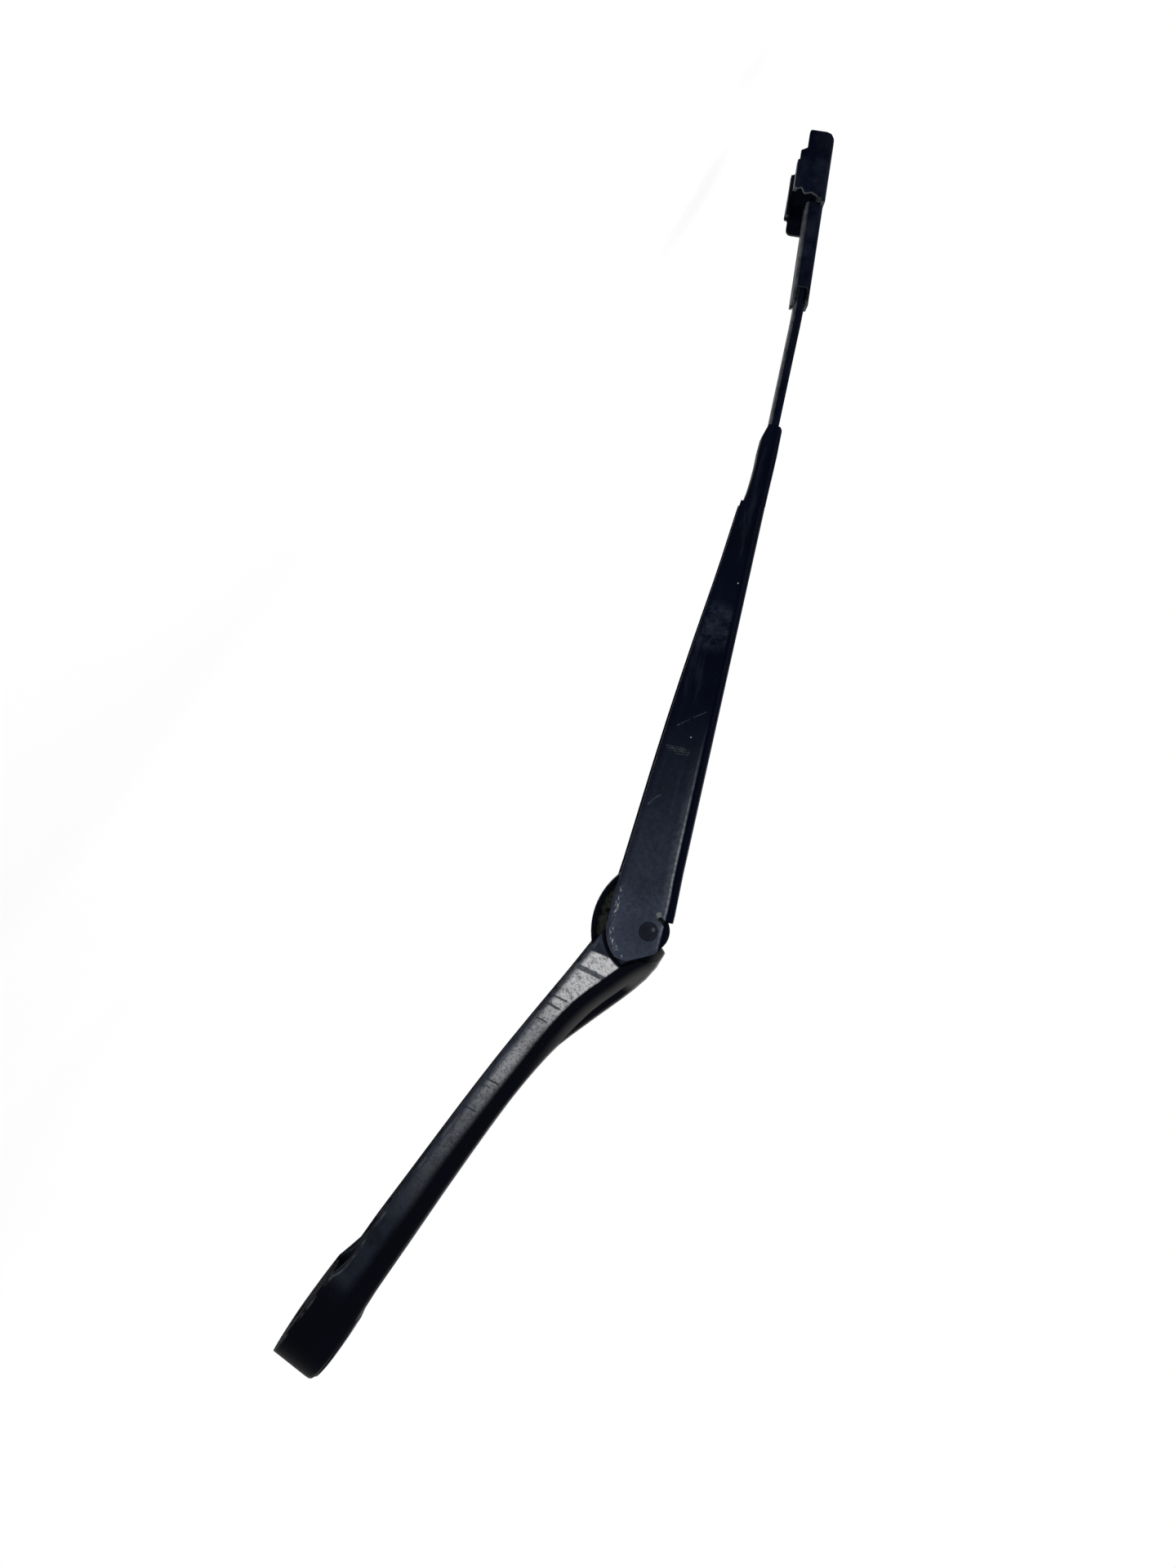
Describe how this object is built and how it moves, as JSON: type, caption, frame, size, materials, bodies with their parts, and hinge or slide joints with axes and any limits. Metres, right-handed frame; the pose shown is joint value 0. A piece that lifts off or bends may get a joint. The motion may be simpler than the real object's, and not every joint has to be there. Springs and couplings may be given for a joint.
{
  "type": "wiper arm",
  "caption": "Relaxed front wiper arm: cast head with spindle bore and nut cap, rivet hinge with spring hook, stamped channel, flat rod and stamped blade connector.",
  "frame": {"origin": "on the spindle's axis, half a millimetre under the nut's seat", "axes": "+Z along the spindle away from the glass, +X from the spindle to the hinge, hinge pivot along Y"},
  "size_m": [0.5478, 0.032, 0.168],
  "materials": {
    "satin_paint": "satin blue-black paint on cast metal",
    "sheet_paint": "satin blue-black paint on steel sheet",
    "cap_plastic": "fine matt moulding",
    "bright_steel": "zinc plated",
    "black_steel": "glossy black",
    "nylon": "natural nylon"
  },
  "bodies": {
    "head": {"arm_head": "satin_paint", "near_bush": "nylon", "far_bush": "nylon", "hook_pin": "bright_steel"},
    "cap": {"nut_cap": "cap_plastic"},
    "arm": {"arm_channel": "sheet_paint", "blade_rod": "satin_paint", "blade_connector": "sheet_paint", "hinge_rivet": "black_steel", "hinge_sleeve": "bright_steel"},
    "hook": {"spring_hook": "black_steel", "hook_bush": "nylon"},
    "spring": {"tension_spring": "black_steel"}
  },
  "joints": [
    {"name": "arm_hinge", "type": "hinge", "parent": "head", "child": "arm", "pos_m": [0.2228, 0, 0.0043], "axis": [0, -1, 0], "range_deg": [0, 68], "stiffness_Nm_per_rad": 0.8, "springref_deg": -103.13},
    {"name": "hook_swing", "type": "hinge", "parent": "head", "child": "hook", "pos_m": [0.2108, 0, -0.003], "axis": [0, -1, 0], "range_deg": [0, 62.5]},
    {"name": "spring_swing", "type": "hinge", "parent": "arm", "child": "spring", "pos_m": [0.3375, 0, -0.05279], "axis": [0, -1, 0], "range_deg": [-6.5, 0], "deforming": ["tension_spring"]},
    {"name": "cap_pull", "type": "slide", "parent": "head", "child": "cap", "axis": [0, 0, 1], "range_m": [0, 0.014]}
  ],
  "couplings": [
    {"joint": "hook_swing", "follows": "arm_hinge", "ratio": 0.911},
    {"joint": "spring_swing", "follows": "arm_hinge", "ratio": -0.0891}
  ]
}
